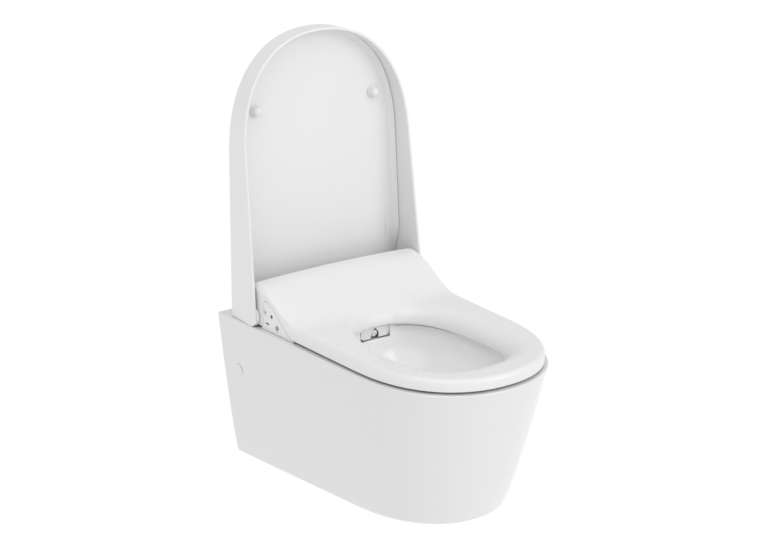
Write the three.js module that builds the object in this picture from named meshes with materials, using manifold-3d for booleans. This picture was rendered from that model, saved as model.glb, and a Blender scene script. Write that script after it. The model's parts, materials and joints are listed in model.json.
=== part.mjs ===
// Wall-hung shower toilet: a ceramic bowl that carries an electric bidet seat.
// Millimetres, +Z up. The wall plane is y = 0, the bowl's front points to -Y, and the controls are
// on -X, the seated user's right. The origin is on the wall face, midway between the wall bolts.
import * as THREE from "three";
import { mergeVertices } from "three/addons/utils/BufferGeometryUtils.js";
import Module from "manifold-3d";

const wasm = await Module();
wasm.setup();

// ---------- Driving dimensions ----------
const RIM = 98; // the bowl's rim above the wall bolts
const GAP = 0.3; // between pieces that touch

// D-shaped outlines: half width at the wall, length, where the straight side ends, the two
// exponents of the round front, and the side's taper towards the front.
const TOP_D = { half: 189, length: 582, straight: 369.5, p: 2.5, q: 2.2, taper: 0.028 };
const RIM_D = { half: 196, length: 582.5, straight: 394, p: 2.47, q: 2.06, taper: 0.053 };
const BASE_D = { half: 152.8, length: 508, straight: 306, p: 2.93, q: 2.09, taper: 0.056 };

// The underside climbs a little towards the front, and the sides swell between base and rim.
const BOWL = { height: 286.8, climb: 0.0426, swell: 0.78, wall: 11, rimEdge: 3, baseEdge: 11 };
const WASTE = { z: -197, radius: 51, bore: 44 };
const FLUSH = { z: -62, radius: 27.5, bore: 21, bend: -130, fall: 33 };
const VENT = { z: -236, radius: 2.5 }; // lets the double-walled ceramic's hollow breathe
const FIXING = { x: 90, z: -98, bore: 9, capX: 181.6, capY: -46.7, capRadius: 10 };

const HINGE = { y: -94.5, z: 17.7, pin: 5, bore: 5.35 };
const LID = { edge: 3.8, rear: 84.7, front: 45, inset: 0.5, skirt: 5, wall: 3, open: 97.9, round: 4 };
// The lid's open edge flares a little at the sides, and its front leans out above the edge.
const LID_EDGE_D = { ...TOP_D, half: TOP_D.half + 2.5 };
const LID_CROWN_D = { ...TOP_D, length: TOP_D.length + 4 };
const SEAT = { inset: 7.8, top: 25.5, bottom: 4, lip: -5, wall: 3.5, edge: 9, roll: 40 };
const HUMP = { top: 79, back: -81, backEdge: 4, backFoot: 69.8, cornerFoot: 8, fallFrom: 92, fallTo: 225, crown: 4 };
const HOLE = { half: 98, y: -400, rear: 185, front: 103, n: 2.6 };
const HOUSING = { half: 164, barrel: 50, wall: 3, front: -205, foot: 0.6 };
const PANEL = { thick: 3, arc: 25.6, foot: 0.8, tip: -208, topY: -128.5, topZ: 45.5, topR: 8 };
const NOZZLE = { tilt: 25, y: -207, z: -20, radius: 6, length: 118, guard: 31 };
const PINION = { teeth: 10, module: 1.5, half: 2.5 };

const rad = THREE.MathUtils.degToRad;

// ---------- Solids ----------
function toSolid(geometry) {
  const bare = geometry.clone();
  bare.deleteAttribute("normal");
  bare.deleteAttribute("uv");
  const merged = mergeVertices(bare, 1e-4);
  return new wasm.Manifold(
    new wasm.Mesh({
      numProp: 3,
      vertProperties: new Float32Array(merged.attributes.position.array),
      triVerts: new Uint32Array(merged.index.array),
    }),
  );
}

function toGeometry(solid) {
  const mesh = solid.getMesh();
  const geometry = new THREE.BufferGeometry();
  geometry.setAttribute("position", new THREE.BufferAttribute(mesh.vertProperties, 3));
  geometry.setIndex(new THREE.BufferAttribute(mesh.triVerts, 1));
  geometry.computeVertexNormals();
  return geometry;
}

function cut(geometry, ...tools) {
  return toGeometry(tools.reduce((solid, tool) => solid.subtract(toSolid(tool)), toSolid(geometry)));
}

function join(geometry, ...others) {
  return toGeometry(others.reduce((solid, other) => solid.add(toSolid(other)), toSolid(geometry)));
}

function box([x0, x1], [y0, y1], [z0, z1]) {
  const geometry = new THREE.BoxGeometry(x1 - x0, y1 - y0, z1 - z0);
  return geometry.translate((x0 + x1) / 2, (y0 + y1) / 2, (z0 + z1) / 2);
}

// A cylinder from one point to another, with an optional second radius at the far end.
function rod(from, to, radius, sides = 20, farRadius = radius) {
  const a = new THREE.Vector3(...from);
  const b = new THREE.Vector3(...to);
  const along = b.clone().sub(a);
  const geometry = new THREE.CylinderGeometry(farRadius, radius, along.length(), sides);
  const turn = new THREE.Quaternion().setFromUnitVectors(new THREE.Vector3(0, 1, 0), along.normalize());
  const middle = a.add(b).multiplyScalar(0.5);
  return geometry.applyQuaternion(turn).translate(middle.x, middle.y, middle.z);
}

// A side profile drawn in (y, z), extruded along X.
function prismX(shape, x0, x1, curveSegments = 8) {
  const geometry = new THREE.ExtrudeGeometry(shape, { depth: x1 - x0, bevelEnabled: false, curveSegments });
  const axes = new THREE.Matrix4().makeBasis(
    new THREE.Vector3(0, 1, 0),
    new THREE.Vector3(0, 0, 1),
    new THREE.Vector3(1, 0, 0),
  );
  return geometry.applyMatrix4(axes).translate(x0, 0, 0);
}

// A front profile drawn in (x, z), extruded towards -Y from y1 down to y0.
function prismY(shape, y0, y1, curveSegments = 8) {
  const geometry = new THREE.ExtrudeGeometry(shape, { depth: y1 - y0, bevelEnabled: false, curveSegments });
  return geometry.rotateX(Math.PI / 2).translate(0, y1, 0);
}

function polygon(points) {
  return new THREE.Shape(points.map(([u, v]) => new THREE.Vector2(u, v)));
}

function roundedRect(u0, u1, v0, v1, r) {
  const shape = new THREE.Shape();
  shape.moveTo(u0 + r, v0).lineTo(u1 - r, v0).absarc(u1 - r, v0 + r, r, -Math.PI / 2, 0);
  shape.lineTo(u1, v1 - r).absarc(u1 - r, v1 - r, r, 0, Math.PI / 2);
  shape.lineTo(u0 + r, v1).absarc(u0 + r, v1 - r, r, Math.PI / 2, Math.PI);
  shape.lineTo(u0, v0 + r).absarc(u0 + r, v0 + r, r, Math.PI, 1.5 * Math.PI);
  return shape;
}

// Rings of equal length, bottom to top and anticlockwise from above, closed by flat fans.
function loft(rings, capBottom = fan, capTop = fan) {
  const count = rings[0].length;
  const positions = rings.flat().flatMap(([x, y, z]) => [x, y, z]);
  const index = [];
  for (let level = 0; level + 1 < rings.length; level += 1) {
    for (let i = 0; i < count; i += 1) {
      const a = level * count + i;
      const b = level * count + ((i + 1) % count);
      index.push(a, b, b + count, a, b + count, a + count);
    }
  }
  index.push(...capBottom(0, count).flatMap(([a, b, c]) => [a, c, b]));
  index.push(...capTop((rings.length - 1) * count, count).flat());
  const geometry = new THREE.BufferGeometry();
  geometry.setAttribute("position", new THREE.Float32BufferAttribute(positions, 3));
  geometry.setIndex(index);
  return geometry.toNonIndexed();
}

function fan(start, count) {
  const faces = [];
  for (let i = 1; i + 1 < count; i += 1) faces.push([start, start + i, start + i + 1]);
  return faces;
}

// A cap in strips from the left side to the right side, for a ring that is its own mirror image.
function strips(start, count) {
  const faces = [];
  const last = count - 1;
  for (let i = 0; 2 * i + 2 <= count; i += 1) {
    const a = start + i;
    const b = start + i + 1;
    const c = start + last - i - 1;
    const d = start + last - i;
    if (b < c) faces.push([a, b, c], [a, c, d]);
    else if (b === c) faces.push([a, b, d]);
  }
  return faces;
}

// ---------- Outlines ----------
const FRONT_STEPS = 9;

// Half of a D, as [half width, distance from the wall], from its back end to its front tip.
function halfD(shape, inset, from) {
  const { half, length, straight, p, q, taper } = shape;
  const start = Math.max(straight, from);
  const points = [from, (from + start) / 2].map((s) => [half - inset - taper * s, s]);
  for (let i = 0; i <= FRONT_STEPS; i += 1) {
    const angle = (i / FRONT_STEPS) * (Math.PI / 2);
    const s = start + (length - inset - start) * Math.sin(angle) ** (2 / p);
    points.push([(half - inset - taper * s) * Math.cos(angle) ** (2 / q), s]);
  }
  points[points.length - 1][0] = 0;
  return points;
}

function ringD(half, height) {
  const left = half.map(([x, s]) => [-x, -s, height(s)]);
  const right = half.slice(0, -1).reverse().map(([x, s]) => [x, -s, height(s)]);
  return [...left, ...right];
}

function blendHalf(a, b, t) {
  return a.map(([x, s], i) => [x + (b[i][0] - x) * t, s + (b[i][1] - s) * t]);
}

// The superellipse of the seat's hole and of the basin, seen from above.
function ovalRadius(angle, { half, rear, front, n }) {
  const reach = Math.sin(angle) > 0 ? rear : front;
  return (Math.abs(Math.cos(angle) / half) ** n + Math.abs(Math.sin(angle) / reach) ** n) ** (-1 / n);
}

function ovalRing(oval, z, count = 30) {
  return Array.from({ length: count }, (_, i) => {
    const angle = (i / count) * 2 * Math.PI;
    const r = ovalRadius(angle, oval);
    return [r * Math.cos(angle), oval.y + r * Math.sin(angle), z];
  });
}

// A round tube of changing radius along points in the plane x = 0.
function pipe(path, sides = 16) {
  const rings = path.map(([y, z, r], i) => {
    const [y0, z0] = path[Math.max(i - 1, 0)];
    const [y1, z1] = path[Math.min(i + 1, path.length - 1)];
    const along = new THREE.Vector2(y1 - y0, z1 - z0).normalize();
    return Array.from({ length: sides }, (_, k) => {
      const a = (k / sides) * 2 * Math.PI;
      return [r * Math.cos(a), y - r * Math.sin(a) * along.y, z + r * Math.sin(a) * along.x];
    });
  });
  return loft(rings.reverse());
}

// ---------- Looks ----------
const look = (color, roughness, metalness = 0) => ({ color, roughness, metalness });
const LOOKS = {
  ceramic: look(0xf4f4f6, 0.12),
  shell: look(0xf2f2f4, 0.28),
  softGrey: look(0xc9cacd, 0.45),
  darkGrey: look(0x55585c, 0.45),
  black: look(0x17181a, 0.2),
  rubber: look(0x8d8f92, 0.8),
  rubberBlack: look(0x2a2b2d, 0.8),
  steel: look(0xb8babd, 0.3, 1),
  brass: look(0xb99a55, 0.35, 1),
  board: look(0x1f6b3a, 0.6),
  foil: look(0xb98a4a, 0.5),
  motor: look(0x9a9ca0, 0.4, 0.8),
};

const root = new THREE.Group();
const fixed = new THREE.Group();
fixed.position.z = RIM;
root.add(fixed);

function add(name, geometry, finish, parent = fixed) {
  const mesh = new THREE.Mesh(geometry, new THREE.MeshStandardMaterial(LOOKS[finish]));
  mesh.name = name;
  parent.add(mesh);
  return mesh;
}

// The seated user's right is -X, so each handed piece is made with its side's sign.
const SIDES = [["right", -1], ["left", 1]];

// ---------- Ceramic bowl ----------
const BASIN = [
  { z: 2, half: 107, y: -400, rear: 192.5, front: 113, n: 2.6 },
  { z: -3, half: 109, y: -400, rear: 193.5, front: 115, n: 2.6 },
  { z: -14, half: 116, y: -400, rear: 195, front: 121, n: 2.6 },
  { z: -60, half: 110, y: -398, rear: 182, front: 114, n: 2.5 },
  { z: -110, half: 90, y: -388, rear: 145, front: 94, n: 2.4 },
  { z: -150, half: 64, y: -368, rear: 98, front: 66, n: 2.2 },
  { z: -180, half: 44, y: -346, rear: 60, front: 42, n: 2 },
  { z: -194, half: 30, y: -336, rear: 40, front: 26, n: 2 },
];
const POCKET = { half: 32.5, front: -240, back: -112, floor: -30 };
const SERVICE = { x: 75, y: -64, radius: 11 };
const DECK_BOLT = { x: 77.5, y: -170, radius: 4 };

function bowlBody() {
  const { height, climb, swell, baseEdge, rimEdge, wall } = BOWL;
  // A ring at a share of the height, from 0 at the base to 1 at the rim.
  const level = (share, inset) => ringD(
    blendHalf(halfD(BASE_D, inset, 0), halfD(RIM_D, inset, 0), share ** swell),
    (s) => (climb * s - height) * (1 - share),
  );
  const outer = loft(
    [
      [0, baseEdge],
      [(baseEdge * 0.3) / height, baseEdge * 0.3],
      [baseEdge / height, 0],
      [0.2, 0],
      [0.4, 0],
      [0.7, 0],
      [1 - rimEdge / height, 0],
      [1 - 0.8 / height, 0.8],
      [1, rimEdge],
    ].map(([share, inset]) => level(share, inset)),
    strips,
    strips,
  );
  const hollow = loft(
    [wall / height, 0.2, 0.4, 0.7, 1 - wall / height].map((share) => level(share, wall)),
    strips,
    strips,
  );
  // Behind, a web closes the hollow and carries the pipes and the wall bolts.
  const back = box([-140, 140], [-40, 10], [-height + 24, -wall]);
  return cut(outer, hollow, back);
}

function waterway(extra) {
  const path = [
    [-335, -182, 24],
    [-300, -208, 26],
    [-262, -222, 26],
    [-228, -208, 26],
    [-204, -178, 26],
    [-172, -158, 27],
    [-134, -166, 30],
    [-96, -186, 36],
    [-50, WASTE.z, WASTE.bore],
    [0, WASTE.z, WASTE.bore],
  ];
  return path.map(([y, z, r]) => [y, z, r + extra]);
}

// The flush way runs level from the wall, then falls to the basin's rear wall.
function flushWay(extra, y0, y1) {
  const slope = FLUSH.fall / (FLUSH.bend + 240);
  const end = [y0, FLUSH.z - slope * (FLUSH.bend - y0)];
  return [end, [FLUSH.bend, FLUSH.z], [y1, FLUSH.z]].map(([y, z]) => [y, z, FLUSH.bore + extra]);
}

function bowl() {
  const basinOuter = loft(
    BASIN.slice(1).map(({ z, half, y, rear, front, n }) =>
      ovalRing({ half: half + 10, y, rear: rear + 10, front: front + 10, n }, z - 9)).reverse(),
  );
  const basinInner = loft(BASIN.map((oval) => ovalRing(oval, oval.z)).reverse());
  const web = box([-142, 142], [-12, 0], [-BOWL.height + 4, -2]);
  const bolts = SIDES.map(([, side]) => side * FIXING.x);
  const bosses = bolts.map((x) => rod([x, -34, FIXING.z], [x, -0.01, FIXING.z], 21, 20));
  const solid = join(
    bowlBody(),
    basinOuter,
    web,
    pipe(waterway(9)),
    pipe(flushWay(9, -222, 0)),
    box([-POCKET.half - 9, POCKET.half + 9], [-225, POCKET.back + 9], [POCKET.floor - 9, -1]),
    ...bosses,
  );
  const bores = [
    basinInner,
    pipe([...waterway(0), [6, WASTE.z, WASTE.bore]]),
    pipe(flushWay(0, -246, 6)),
    rod([0, -18, FLUSH.z], [0, 6, FLUSH.z], FLUSH.radius, 28),
    rod([0, -14, WASTE.z], [0, 6, WASTE.z], WASTE.radius, 28),
    box([-POCKET.half, POCKET.half], [POCKET.front, POCKET.back], [POCKET.floor, 4]),
    ...bolts.map((x) => rod([x, -50, FIXING.z], [x, 6, FIXING.z], FIXING.bore + 4, 20)),
    ...bolts.map((x) => rod([x, -20, VENT.z], [x, 6, VENT.z], VENT.radius, 12)),
    ...SIDES.map(([, side]) => rod(
      [side * 140, FIXING.capY + 2.3, FIXING.z + 5.4],
      [side * 200, FIXING.capY - 1, FIXING.z - 2.4],
      FIXING.capRadius - 1.3,
    )),
    ...SIDES.map(([, side]) => rod(
      [side * SERVICE.x, SERVICE.y, -20],
      [side * SERVICE.x, SERVICE.y, 4],
      SERVICE.radius,
    )),
    ...SIDES.map(([, side]) => rod(
      [side * DECK_BOLT.x, DECK_BOLT.y, -20],
      [side * DECK_BOLT.x, DECK_BOLT.y, 4],
      DECK_BOLT.radius + 1.5,
      14,
    )),
  ];
  return cut(solid, ...bores);
}

add("ceramic_bowl", bowl(), "ceramic");

// The side wall leans out by these slopes where the fixing caps sit.
for (const [name, side] of SIDES) {
  const cap = new THREE.Group();
  cap.position.set(side * FIXING.capX, FIXING.capY, FIXING.z);
  cap.rotation.set(0, side * 0.13, -side * 0.055);
  fixed.add(cap);
  const flange = rod([side * 0.4, 0, 0], [side * 1.5, 0, 0], FIXING.capRadius, 24, FIXING.capRadius - 0.6);
  const stem = rod([-side * 9, 0, 0], [side * 0.8, 0, 0], FIXING.capRadius - 1.9, 24);
  add(`fixing_cap_${name}`, join(flange, stem), "ceramic", cap);

  const x = side * FIXING.x;
  const sleeve = cut(
    rod([x, -46, FIXING.z], [x, -0.4, FIXING.z], FIXING.bore + 3.7, 20),
    rod([x, -60, FIXING.z], [x, 5, FIXING.z], 6.3, 16),
  );
  add(`wall_sleeve_${name}`, sleeve, "darkGrey");
  const nut = rod([x, -55, FIXING.z], [x, -46.4, FIXING.z], 11, 6);
  const stud = rod([x, -62, FIXING.z], [x, -0.4, FIXING.z], 5.9, 16);
  add(`wall_bolt_${name}`, join(stud, nut), "steel");
}

const tubeSeal = (z, outer, inner, y0, y1) => cut(
  rod([0, y0, z], [0, y1, z], outer, 28),
  rod([0, y0 - 5, z], [0, y1 + 5, z], inner, 28),
);
add("waste_seal", tubeSeal(WASTE.z, WASTE.radius - GAP, WASTE.bore + 0.5, -13.7, -0.3), "rubberBlack");
add("flush_seal", tubeSeal(FLUSH.z, FLUSH.radius - GAP, FLUSH.bore + 0.5, -17.7, -0.3), "rubberBlack");

// ---------- Washing unit, fixed on the bowl's deck ----------
const slot = () => box([-37, 37], [-230, -116], [-5, 12]);
const serviceHoles = (radius) => SIDES.map(([, side]) => rod(
  [side * SERVICE.x, SERVICE.y, -5],
  [side * SERVICE.x, SERVICE.y, 14],
  radius,
));
const deckBoltHoles = () => SIDES.map(([, side]) => rod(
  [side * DECK_BOLT.x, DECK_BOLT.y, -5],
  [side * DECK_BOLT.x, DECK_BOLT.y, 14],
  DECK_BOLT.radius + 0.4,
  14,
));

const plate = prismFlat(roundedRect(-150, 150, -196, -50, 8), 0.4, 2.8);
add("mounting_plate", cut(plate, slot(), ...serviceHoles(9), ...deckBoltHoles()), "steel");

const trayShape = roundedRect(-159, 159, -196, -50, 6);
const trayInside = roundedRect(-156.5, 156.5, -193.5, -52.5, 4);
const tray = cut(
  prismFlat(trayShape, 3.1, 9),
  prismFlat(trayInside, 5.6, 14),
  slot(),
  ...serviceHoles(9),
  ...deckBoltHoles(),
);
add("base_tray", tray, "softGrey");

// A plan outline drawn in (x, y), extruded upwards.
function prismFlat(shape, z0, z1, curveSegments = 6) {
  const geometry = new THREE.ExtrudeGeometry(shape, { depth: z1 - z0, bevelEnabled: false, curveSegments });
  return geometry.translate(0, 0, z0);
}

// The cover's side profile stays under the seat's hump and ends in a barrel about the hinge line.
function coverProfile(shrink, foot) {
  const slope = [[-205, 6], [-196, 14], [-186, 22.5], [-170, 34], [-150, 45.5], [-130, 56], [-112, 62.5]];
  const barrel = HOUSING.barrel - shrink;
  const shape = new THREE.Shape();
  shape.moveTo(HOUSING.front + shrink, foot);
  for (const [y, z] of slope) shape.lineTo(y + shrink * 0.7, z - shrink);
  shape.absarc(HINGE.y, HINGE.z, barrel, Math.PI / 2, 0, true);
  shape.lineTo(HINGE.y + barrel, foot);
  return shape;
}

const coverOuter = prismX(coverProfile(0, HOUSING.foot), -HOUSING.half, HOUSING.half, 10);
const coverHalf = HOUSING.half - HOUSING.wall;
const coverInner = prismX(coverProfile(HOUSING.wall, -4), -coverHalf, coverHalf, 10);
const pinBores = SIDES.map(([, side]) => rod(
  [side * 140, HINGE.y, HINGE.z],
  [side * 190, HINGE.y, HINGE.z],
  HINGE.bore,
));
const nozzleMouth = box([-37, 37], [-215, -195], [-5, 11]);
add("housing_cover", cut(coverOuter, coverInner, nozzleMouth, ...pinBores), "softGrey");

for (const [name, side] of SIDES) {
  add(`hinge_pin_${name}`, rod(
    [side * 145, HINGE.y, HINGE.z],
    [side * 183.3, HINGE.y, HINGE.z],
    HINGE.pin,
  ), "steel");
  const damper = cut(
    rod([side * 104, HINGE.y, HINGE.z], [side * 155, HINGE.y, HINGE.z], 10.5),
    rod([side * 144, HINGE.y, HINGE.z], [side * 165, HINGE.y, HINGE.z], HINGE.bore),
  );
  add(`soft_close_damper_${name}`, damper, "darkGrey");

  const [x, y] = [side * DECK_BOLT.x, DECK_BOLT.y];
  const head = rod([x, y, 5.9], [x, y, 10], 8.5, 6);
  add(`deck_bolt_${name}`, join(rod([x, y, -28], [x, y, 8], DECK_BOLT.radius, 14), head), "steel");
  const nut = cut(
    rod([x, y, -21], [x, y, -11.4], 10, 6),
    rod([x, y, -30], [x, y, 0], DECK_BOLT.radius + 0.35, 14),
  );
  add(`deck_nut_${name}`, nut, "darkGrey");
}

// Inner units, as boxes and drums with their ports.
const heater = join(
  prismFlat(roundedRect(-152, -58, -146, -112, 8), 6.4, 38),
  rod([-60, -129, 22], [-46, -129, 22], 5),
);
add("water_heater", heater, "darkGrey");
const supply = join(
  box([60, 152], [-148, -112], [6.4, 40]),
  box([56, 62], [-138, -122], [12, 24]),
);
add("power_supply", supply, "black");
add("control_board", box([-72, 80], [-108, -62], [45, 46.6]), "board");
const pump = join(
  rod([20, -68, 22], [50, -68, 22], 12.5, 24),
  rod([50, -68, 22], [60, -68, 22], 5),
  rod([34, -68, 8], [34, -68, 14], 6),
);
add("water_pump", pump, "motor");
const valve = join(
  box([-52, -24], [-84, -62], [6.4, 22]),
  rod([-38, -73, 20], [-38, -73, 38], 9),
);
add("solenoid_valve", valve, "black");
add("water_inlet", join(
  rod([-SERVICE.x, SERVICE.y, -24], [-SERVICE.x, SERVICE.y, 18], 7),
  rod([-SERVICE.x, SERVICE.y, 6], [-SERVICE.x, SERVICE.y, 11], 10.5, 6),
), "brass");
add("power_inlet", join(
  rod([SERVICE.x, SERVICE.y, -20], [SERVICE.x, SERVICE.y, 18], 8),
  rod([SERVICE.x, SERVICE.y, 6], [SERVICE.x, SERVICE.y, 10], 10.5),
), "black");

// ---------- Nozzle, sliding down and forward through its guard ----------
const nozzle = new THREE.Group();
nozzle.position.set(0, NOZZLE.y, NOZZLE.z);
nozzle.rotation.x = rad(NOZZLE.tilt);
fixed.add(nozzle);

const PITCH = Math.PI * PINION.module;
const PITCH_RADIUS = (PINION.module * PINION.teeth) / 2;
const RACK_LINE = 8; // pitch line of the rack above the arm's axis
const PINION_Y = 40;

function rackShape(from, teeth) {
  const points = [[from, 3.5], [from, RACK_LINE - 1.9]];
  for (let k = 0; k < teeth; k += 1) {
    const middle = from + PITCH * (k + 0.5);
    const [low, high] = [RACK_LINE - 1.9, RACK_LINE + 1.1];
    points.push([middle - 1, low], [middle - 0.45, high], [middle + 0.45, high], [middle + 1, low]);
  }
  const end = from + PITCH * teeth;
  return polygon([...points, [end, RACK_LINE - 1.9], [end, 3.5]].reverse());
}

const RACK_TEETH = 19;
const rackStart = PINION_Y - 2 * PITCH;
const arm = join(
  rod([0, 14.6, 0], [0, 14.6 + NOZZLE.length, 0], NOZZLE.radius),
  prismX(rackShape(rackStart, RACK_TEETH), -PINION.half, PINION.half),
);
add("nozzle_arm", arm, "softGrey", nozzle);

const tipBody = join(
  rod([0, 1, 0], [0, 14.3, 0], 6.8, 24, 6.2),
  rod([0, -1.4, 0], [0, 1, 0], 5, 24, 6.8),
);
add("nozzle_tip", cut(tipBody, rod([0, 4, 2], [0, -4, 1], 1.5, 12)), "softGrey", nozzle);

const carrier = cut(
  box([-10, 10], [24, 116], [-9.5, 4.5]),
  rod([0, 10, 0], [0, 130, 0], NOZZLE.radius + 0.4, 24),
  box([-3.1, 3.1], [10, 130], [0, 8]),
);
add("nozzle_carrier", carrier, "darkGrey", nozzle);

function gearShape() {
  const points = [];
  for (let k = 0; k < PINION.teeth; k += 1) {
    const middle = -Math.PI / 2 + (k / PINION.teeth) * 2 * Math.PI;
    const at = (r, a) => [r * Math.cos(middle + a), r * Math.sin(middle + a)];
    points.push(at(PITCH_RADIUS - 1.7, -0.19), at(PITCH_RADIUS + 1.2, -0.055));
    points.push(at(PITCH_RADIUS + 1.2, 0.055), at(PITCH_RADIUS - 1.7, 0.19));
  }
  return polygon(points);
}
const gear = cut(
  prismX(gearShape(), -PINION.half, PINION.half),
  rod([-9, 0, 0], [9, 0, 0], 2.05, 14),
).translate(0, PINION_Y, RACK_LINE + PITCH_RADIUS);
add("drive_pinion", gear, "brass", nozzle);
const motorZ = RACK_LINE + PITCH_RADIUS;
add("nozzle_motor", join(
  rod([3.2, PINION_Y, motorZ], [6, PINION_Y, motorZ], 5),
  rod([6, PINION_Y, motorZ], [30, PINION_Y, motorZ], 9, 24),
  rod([-4, PINION_Y, motorZ], [4, PINION_Y, motorZ], 1.95, 14),
), "motor", nozzle);

function guardShape() {
  const { guard } = NOZZLE;
  const shape = new THREE.Shape();
  shape.moveTo(-guard, -3).lineTo(-guard, -20);
  shape.absarc(-guard + 7, -20, 7, Math.PI, 1.5 * Math.PI);
  shape.lineTo(-8.5, -27).lineTo(-8.5, -20);
  shape.absarc(0, -20, 8.5, Math.PI, 0, true);
  shape.lineTo(8.5, -27).lineTo(guard - 7, -27);
  shape.absarc(guard - 7, -20, 7, 1.5 * Math.PI, 2 * Math.PI);
  shape.lineTo(guard, -3);
  return shape;
}
const rackNotch = box([-3.4, 3.4], [-215, -200], [-21, -9.5]);
const guard = join(
  cut(prismY(guardShape(), -209.3, -207, 6), rackNotch),
  box([-NOZZLE.guard, NOZZLE.guard], [-209.3, -196], [-3.5, -1]),
  ...SIDES.map(([, side]) => box(
    side < 0 ? [-31, -29] : [29, 31],
    [-208, -196],
    [-20, -1.5],
  )),
);
add("nozzle_guard", guard, "softGrey");

// ---------- Side panels with the controls ----------
// Seen from the side: a low leaf with a round top, its back edge an arc about the hinge line.
function panelShape(grow) {
  const shape = new THREE.Shape();
  const r = PANEL.arc - grow;
  const low = PANEL.foot - grow;
  const fromAngle = Math.PI + Math.asin((HINGE.z - low) / r);
  shape.moveTo(PANEL.tip - grow, low);
  shape.lineTo(HINGE.y + r * Math.cos(fromAngle), low);
  shape.absarc(HINGE.y, HINGE.z, r, fromAngle, rad(150), true);
  shape.absarc(PANEL.topY, PANEL.topZ, PANEL.topR + grow, 0, rad(110));
  shape.bezierCurveTo(-158 - grow, 46 + grow, -168 - grow, 17 + grow, PANEL.tip - grow, 1.8 + grow);
  return shape;
}

const CONTROLS = {
  power: { y: -125, z: 32.8, r: 5.5 },
  lens: { y: -143.9, z: 29.8, r: 3.2 },
  wash: { y: -161.2, z: 12.4, r: 6 },
  bar: { y: -131.8, z: 13.8, half: 5, r: 1.2 },
};
const SIDE_AT_WALL = TOP_D.half - SEAT.inset; // the seat's side, carried back to the wall plane

// A round-ended bar, or a disc when it has no half length.
function capsule({ y, z, half = 0, r }, grow) {
  const end = Math.max(half, r) + grow;
  return roundedRect(y - end, y + end, z - r - grow, z + r + grow, (r + grow) * 0.999);
}

for (const [name, side] of SIDES) {
  const panel = new THREE.Group();
  panel.position.x = side * SIDE_AT_WALL;
  panel.rotation.z = -side * TOP_D.taper;
  fixed.add(panel);
  const across = (outer, inner) => (side < 0 ? [-outer, inner] : [-inner, outer]);
  const [x0, x1] = across(0, PANEL.thick);
  const posts = [[-138, 8], [-178, 8]].map(([y, z]) => rod(
    [-side * 1.5, y, z],
    [-side * 10.5, y, z],
    4,
    14,
  ));
  let body = join(prismX(panelShape(0), x0, x1, 6), ...posts);
  if (name === "right") {
    const holes = Object.values(CONTROLS).map((spec) => prismX(capsule(spec, 0.35), x0 - 1, x1 + 1, 3));
    body = cut(body, ...holes);
    const [b0, b1] = across(1, 6);
    add("power_button", prismX(capsule(CONTROLS.power, 0), b0, b1, 3), "shell", panel);
    add("wash_button", prismX(capsule(CONTROLS.wash, 0), b0, b1, 3), "softGrey", panel);
    const [l0, l1] = across(0.2, 4);
    add("sensor_lens", prismX(capsule(CONTROLS.lens, 0), l0, l1, 3), "black", panel);
    add("status_light", prismX(capsule(CONTROLS.bar, 0), l0, l1, 3), "darkGrey", panel);
  }
  add(name === "right" ? "control_panel" : "side_panel_left", body, "shell", panel);
}

// ---------- Seat: one smooth top that rises into the hump over the washing unit ----------
function seatTop(x, y) {
  const fall = THREE.MathUtils.smoothstep(-y, HUMP.fallFrom, HUMP.fallTo);
  const crown = HUMP.crown * (x / 178) ** 2;
  return SEAT.top + (HUMP.top - SEAT.top - crown) * (1 - fall);
}

// Points round the seat's outer edge, each with its mitred inward direction.
function seatStations() {
  const straight = [105, 119, 133, 147, 161, 176, 192, 210, 232, 275, 322];
  const sideHalf = [-HUMP.back, ...straight].map((s) => [TOP_D.half - SEAT.inset - TOP_D.taper * s, s]);
  const half = [...sideHalf, ...halfD(TOP_D, SEAT.inset, -HUMP.back).slice(2)];
  const side = { foot: SEAT.bottom, edge: SEAT.edge };
  const ring = ringD(half, () => 0).map(([x, y]) => ({ x, y, ...side }));
  const last = ring.length - 1;
  ring.forEach((station, i) => {
    const before = ring[Math.max(i - 1, 0)];
    const after = ring[Math.min(i + 1, last)];
    const along = new THREE.Vector2(after.x - before.x, after.y - before.y).normalize();
    station.inward = [-along.y, along.x];
  });
  // The two rear corners sit higher, so that they clear the rim as the seat turns up.
  Object.assign(ring[0], { inward: [1, -1], foot: HUMP.cornerFoot });
  Object.assign(ring[last], { inward: [-1, -1], foot: HUMP.cornerFoot });
  for (const x of [160, 105, 52, 0, -52, -105, -160]) {
    ring.push({ x, y: HUMP.back, foot: HUMP.backFoot, edge: HUMP.backEdge, inward: [0, -1] });
  }
  return ring;
}

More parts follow.
